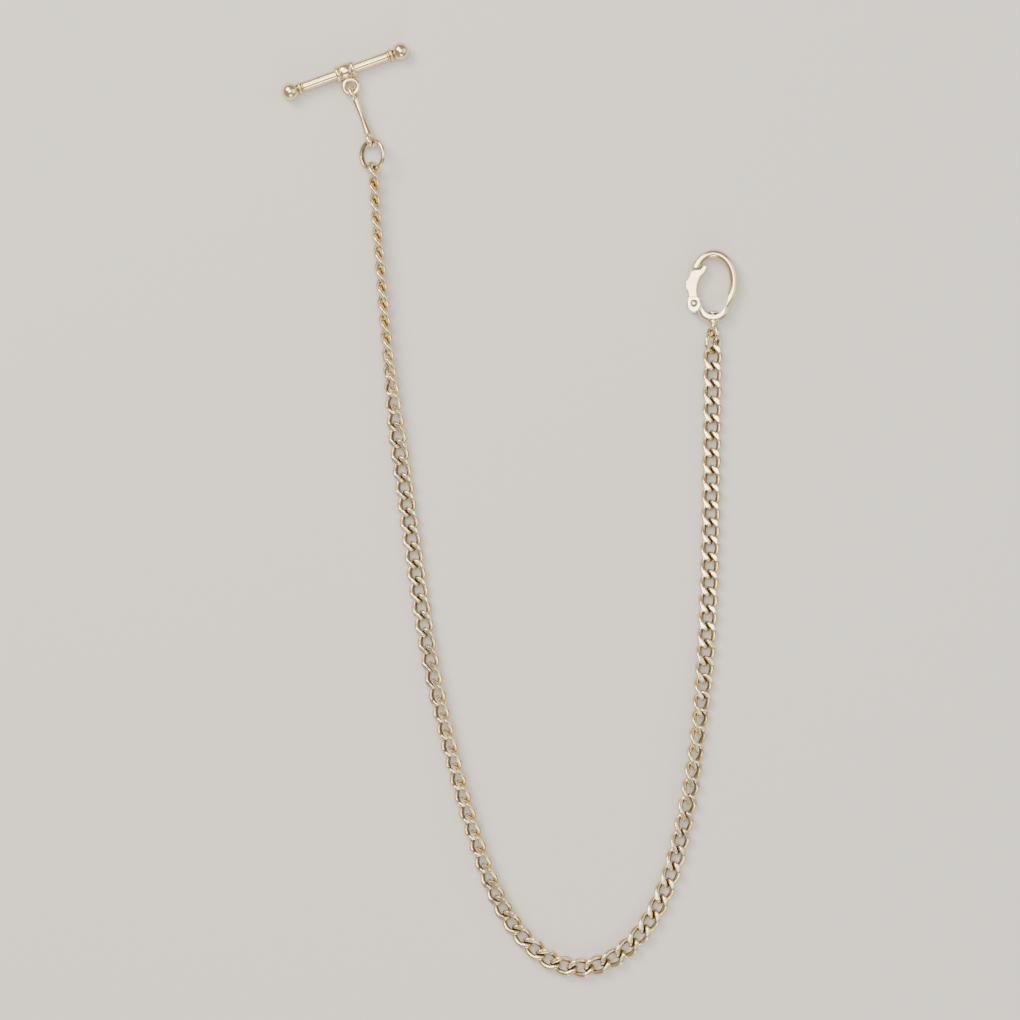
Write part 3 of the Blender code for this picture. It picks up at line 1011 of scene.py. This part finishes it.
@dataclass
class SwivelClasp:
    """The clasp that takes the watch: jump ring, swivel, hook, gate, rivet and spring."""

    joints: dict[str, dict]
    finishes: Finishes
    wire: float = 1.0
    ring_radius: float = 1.85
    ring_lean: float = math.radians(40)
    eye_radius: float = 1.3
    eye_lean: float = math.radians(130)
    fit_gap: float = 0.2
    half_thickness: float = 1.5
    head_wall: float = 2.0
    length: float = 15.5
    width: float = 10.4
    rim: float = 1.9
    rim_squareness: float = 0.72
    shoulder_half: tuple[float, float] = (2.55, 3.2)
    shoulder_round: float = 0.8
    cheek_half: tuple[float, float] = (2.0, 1.55)
    cheek_round: float = 0.25
    cavity_half: tuple[float, float] = (4.0, 2.95)
    post_radius: float = 0.65
    post_head_radius: float = 1.15
    post_head_length: float = 0.6
    gate_half: float = 0.75
    gate_edge: float = 0.12
    knuckle_radius: float = 1.02
    thumb_grooves: tuple[float, ...] = (3.2, 3.8, 4.4)
    thumb_groove_radius: float = 0.24
    pivot_radius: float = 0.5
    pivot: tuple[float, float] = (4.2, 4.0)
    nose: float = 11.5
    spring_thickness: float = 0.2
    spring_bow: float = 0.12

    def __post_init__(self) -> None:
        """Reads the clasp's place from its swivel."""
        spin = self.joints["clasp_spin"]
        self.forward = Vector(spin["axis"])
        self.hook = facing(Vector(spin["pos_m"]), self.forward)
        self.hinge = self.hook @ Matrix.Translation((*(size * MM for size in self.pivot), 0))
        self.through = 3 * self.half_thickness

    def build(self) -> None:
        """Makes the six pieces."""
        self.build_ring()
        self.build_swivel()
        self.build_hook()
        self.build_gate()
        self.build_rivet()
        self.build_spring()

    def build_ring(self) -> None:
        """The clasp's jump ring."""
        ring = jump_ring(self.ring_radius, self.wire, steps=72)
        at = facing(middle_of("clasp_ring"), self.forward) @ Matrix.Rotation(self.ring_lean, 4, "X")
        place_piece(
            "clasp_jump_ring", ring, at, self.finishes.fitting, "clasp_ring",
            "clasp_ring",
        )

    def build_swivel(self) -> None:
        """The swivel: an eye and a post with a riveted head."""
        behind = self.eye_radius + self.wire / 2 + self.fit_gap
        at = self.hook @ Matrix.Translation((-behind * MM, 0, 0))
        at = at @ Matrix.Rotation(self.eye_lean, 4, "X")
        start = self.eye_radius
        shoulder = start + self.wire / 2 + 2 * self.fit_gap + self.head_wall
        head, tall = self.post_head_radius, self.post_head_length
        post = turned([
            (start, 0), (start, self.post_radius), (shoulder, self.post_radius),
            (shoulder, head), (shoulder + tall * 0.4, head), (shoulder + tall * 0.75, head * 0.8),
            (shoulder + tall, head * 0.4), (shoulder + tall, 0),
        ])
        casting = Casting([wire_eye(start, self.wire), post], grain=0.055, tumbling=2)
        place_piece(
            "clasp_swivel", casting.build(), at, self.finishes.fitting, "swivel_eye",
            "swivel_eye",
        )

    def loop(self) -> bmesh.types.BMesh:
        """The hook's loop: a rounded flat section swept round an oval.

        Returns:
            The closed loop, in millimetres.
        """
        half_length = (self.length - self.head_wall) / 2
        half_width = self.width / 2
        bm = WireRing(
            half_length - self.rim / 2, half_width - self.rim / 2, self.rim, steps=96, sides=28
        ).build()
        tall = 2 * self.half_thickness / self.rim
        for vert in bm.verts:
            share = min(abs(vert.co.z) / (self.rim / 2), 1.0)
            risen = math.copysign(share**self.rim_squareness, vert.co.z)
            vert.co.z = risen * self.rim / 2 * tall
        middle = (self.length + self.head_wall) / 2
        return moved(bm, Matrix.Translation((middle, 0, 0)))

    def head(self) -> list[bmesh.types.BMesh]:
        """The shapes that the hook's head is made up of.

        Returns:
            The turned boss, the rounded shoulders and the gate's cheeks, in millimetres.
        """
        thick = self.half_thickness
        wall = self.head_wall
        boss = turned([
            (0.05, 0.0), (0.05, 1.0), *bead(0.45, 0.35, 1.15, 1.42), (0.85, 1.2), (1.2, 1.22),
            (2.0, thick - 0.08), (wall + 0.9, thick - 0.08), (wall + 0.9, 0.0),
        ])
        shoulders = plate(
            oval((wall + 0.8, 0), *self.shoulder_half), thick - 0.07, self.shoulder_round
        )
        cheeks = plate(oval(self.pivot, *self.cheek_half, 40), thick - 0.02, self.cheek_round)
        return [boss, shoulders, cheeks]

    def openings(self) -> list[bmesh.types.BMesh]:
        """The shapes that are cut out of the hook.

        Returns:
            The room inside the loop, the cavity behind the swivel, the gate's slot, the mouth,
            the swivel's bore and the rivet's hole, in millimetres.
        """
        pivot_x, pivot_y = self.pivot
        middle = (self.length + self.head_wall) / 2
        clear = self.rim + 0.08
        inside = plate(
            oval((middle, 0), (self.length - self.head_wall) / 2 - clear, self.width / 2 - clear),
            self.through,
        )
        cavity = plate(oval((self.head_wall + 3.9, 0), *self.cavity_half), self.through)
        slot = block(
            pivot_x - 1.7, pivot_x + 4.0, pivot_y - 2.0, pivot_y + 3.0,
            self.gate_half + self.fit_gap,
        )
        mouth = block(pivot_x + 1.4, self.nose, pivot_y - 2.4, pivot_y + 6.0, self.through)
        bore = plain_rod(-1, 4, self.post_radius + 0.15)
        hole = self.pivot_radius + 0.12
        pin_hole = plate(oval(self.pivot, hole, hole, 32), self.through)
        return [inside, cavity, slot, mouth, bore, pin_hole]

    def build_hook(self) -> None:
        """The hook: a cast loop with a round head, two cheeks for the gate and a nose."""
        casting = Casting([self.loop(), *self.head()], self.openings(), grain=0.08, tumbling=8)
        place_piece(
            "clasp_hook", casting.build(), self.hook, self.finishes.fitting, "hook",
            "hook_body",
        )

    def build_gate(self) -> None:
        """The gate: a knuckle, a bar with a grooved thumb piece, and a tongue behind the nose."""
        half = self.gate_half
        corners = [
            (0, 1.0), (2.7, 1.2), (3.0, 1.85), (4.6, 1.85), (4.9, 1.2), (7.0, 0.55), (7.0, -1.5),
            (8.0, -1.9), (7.8, -2.7), (6.4, -2.15), (5.4, -1.0), (2.8, -0.35), (0, -1.0),
        ]
        bar = plate(softened(corners), half, self.gate_edge)
        knuckle = plate(oval((0, 0), self.knuckle_radius, self.knuckle_radius, 40), half - 0.03)
        hole = self.pivot_radius + 0.1
        eyelet = plate(oval((0, 0), hole, hole, 32), 2 * half)
        grooves = [
            moved(
                plain_rod(-2, 2, self.thumb_groove_radius, 16),
                Matrix.Translation((x, 1.92, 0)) @ ALONG_Z,
            )
            for x in self.thumb_grooves
        ]
        casting = Casting([bar, knuckle], [eyelet, *grooves], grain=0.055)
        place_piece(
            "clasp_gate", casting.build(), self.hinge, self.finishes.fitting, "gate",
            "gate_lever",
        )

    def build_rivet(self) -> None:
        """The gate's rivet, with its ends spread flush in the cheeks."""
        pin, spread = self.pivot_radius - 0.08, self.pivot_radius + 0.1
        end = self.half_thickness - 0.03
        profile = [
            (end, 0.0), (end - 0.02, spread * 0.5), (end - 0.1, spread * 0.9),
            (end - 0.2, spread), (end - 0.32, pin),
        ]
        bm = turned(profile + [(-x, radius) for x, radius in reversed(profile)], 32)
        layer = bm.verts.layers.float.new(HOLLOW)
        # The spread ends round the pin are marked for painted shade where the rivet meets the cheek;
        # its flush faces get a faint painted highlight.
        for vert in bm.verts:
            vert[layer] = 0.9 if math.hypot(vert.co.y, vert.co.z) > pin else 0.4
        place_piece(
            "clasp_gate_rivet", bm, self.hinge @ ALONG_Z, self.finishes.fitting, "hook",
            "gate_rivet",
        )

    def build_spring(self) -> None:
        """The gate's spring: a bowed leaf between the head and the knuckle."""
        leaf = self.pivot[0] - 1.2
        low, high = 2.6, 4.8
        bm = block(leaf - self.spring_thickness, leaf, low, high, self.gate_half * 0.8)
        sides = [edge for edge in bm.edges if abs(edge.verts[0].co.y - edge.verts[1].co.y) > 1]
        bmesh.ops.subdivide_edges(bm, edges=sides, cuts=10, use_grid_fill=True)
        for vert in bm.verts:
            along = (vert.co.y - (low + high) / 2) / ((high - low) / 2)
            vert.co.x -= self.spring_bow * (1 - along**2)
        bmesh.ops.bevel(
            bm, geom=bm.edges[:], affect="EDGES", offset=0.03, segments=2, profile=0.5, material=-1
        )
        place_piece(
            "clasp_gate_spring", bm, self.hook, self.finishes.spring, "hook",
            "gate_spring",
        )


@dataclass(frozen=True)
class Softbox:
    """A square softbox that faces the chain."""

    name: str
    offset: tuple[float, float, float]
    side: float
    power: float
    colour: str

    def hang(self, middle: Vector) -> None:
        """Adds the light.

        Args:
            middle: The point that it faces, from which its offset is taken, in metres.
        """
        lamp = bpy.data.lights.new(self.name, "AREA")
        lamp.size = self.side
        lamp.energy = self.power
        lamp.color = linear(self.colour)[:3]
        offset = Vector(self.offset)
        obj = bpy.data.objects.new(self.name, lamp)
        obj.location = middle + offset
        obj.rotation_euler = (-offset).to_track_quat("-Z", "Y").to_euler()
        bpy.context.scene.collection.objects.link(obj)


@dataclass
class Studio:
    """A pale floor, soft lights and a camera that looks square at the chain, in metres."""

    finishes: Finishes
    softboxes: tuple[Softbox, ...] = (
        Softbox("key_softbox", (-0.42, 0.45, 0.62), side=0.45, power=8.0, colour="#FFF6E8"),
        Softbox("top_softbox", (-0.06, 0.08, 1.00), side=0.50, power=6.5, colour="#FFFAF0"),
        Softbox("fill_softbox", (0.55, 0.10, 0.45), side=0.60, power=2.0, colour="#F2F6FF"),
        Softbox("rim_softbox", (0.10, -0.60, 0.35), side=0.35, power=2.0, colour="#FFF6E8"),
    )
    floor_size: float = 8.0
    floor_gap: float = 0.00002
    lens: float = 135.0
    sensor: float = 36.0
    margin: float = 1.09
    backdrop: str = "#E6E4E0"
    backdrop_strength: float = 0.52

    def build(self, low: Vector, high: Vector) -> None:
        """Sets up the studio round the chain.

        Args:
            low: The chain's lowest corner.
            high: The chain's highest corner.
        """
        middle = (low + high) / 2
        bm = bmesh.new()
        bmesh.ops.create_grid(bm, x_segments=1, y_segments=1, size=self.floor_size / 2)
        bmesh.ops.translate(bm, verts=bm.verts, vec=(0, 0, low.z - self.floor_gap))
        floor = as_object(bm, "floor")
        floor.data.materials.append(self.finishes.floor)
        floor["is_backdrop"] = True
        for softbox in self.softboxes:
            softbox.hang(middle)
        world = bpy.data.worlds.new("studio")
        world.use_nodes = True
        background = world.node_tree.nodes["Background"]
        background.inputs["Color"].default_value = linear(self.backdrop)
        background.inputs["Strength"].default_value = self.backdrop_strength
        bpy.context.scene.world = world
        self.camera(middle, max(high.x - low.x, high.y - low.y) * self.margin)

    def camera(self, middle: Vector, across: float) -> None:
        """Adds the camera, straight above the chain.

        Args:
            middle: The point that it looks at.
            across: The width that it takes in there, in metres.
        """
        data = bpy.data.cameras.new("camera")
        data.lens = self.lens
        data.sensor_width = self.sensor
        obj = bpy.data.objects.new("camera", data)
        obj.location = middle + UP * across * self.lens / self.sensor
        bpy.context.scene.collection.objects.link(obj)
        bpy.context.scene.camera = obj


def main(frame: dict) -> None:
    """Builds the chain's looks in order.

    Args:
        frame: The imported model, as loaded.
    """
    cad_low, cad_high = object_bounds()
    joints = {joint["name"]: joint for joint in frame["joints"]}
    finishes = Finishes()
    CurbChain(joints, finishes).build()
    BarEnd(joints, finishes).build()
    SwivelClasp(joints, finishes).build()
    Studio(finishes).build(Vector(cad_low), Vector(cad_high))


if __name__ == "__main__":
    logging.basicConfig(level=logging.INFO, format="%(name)s: %(message)s")
    main(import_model())
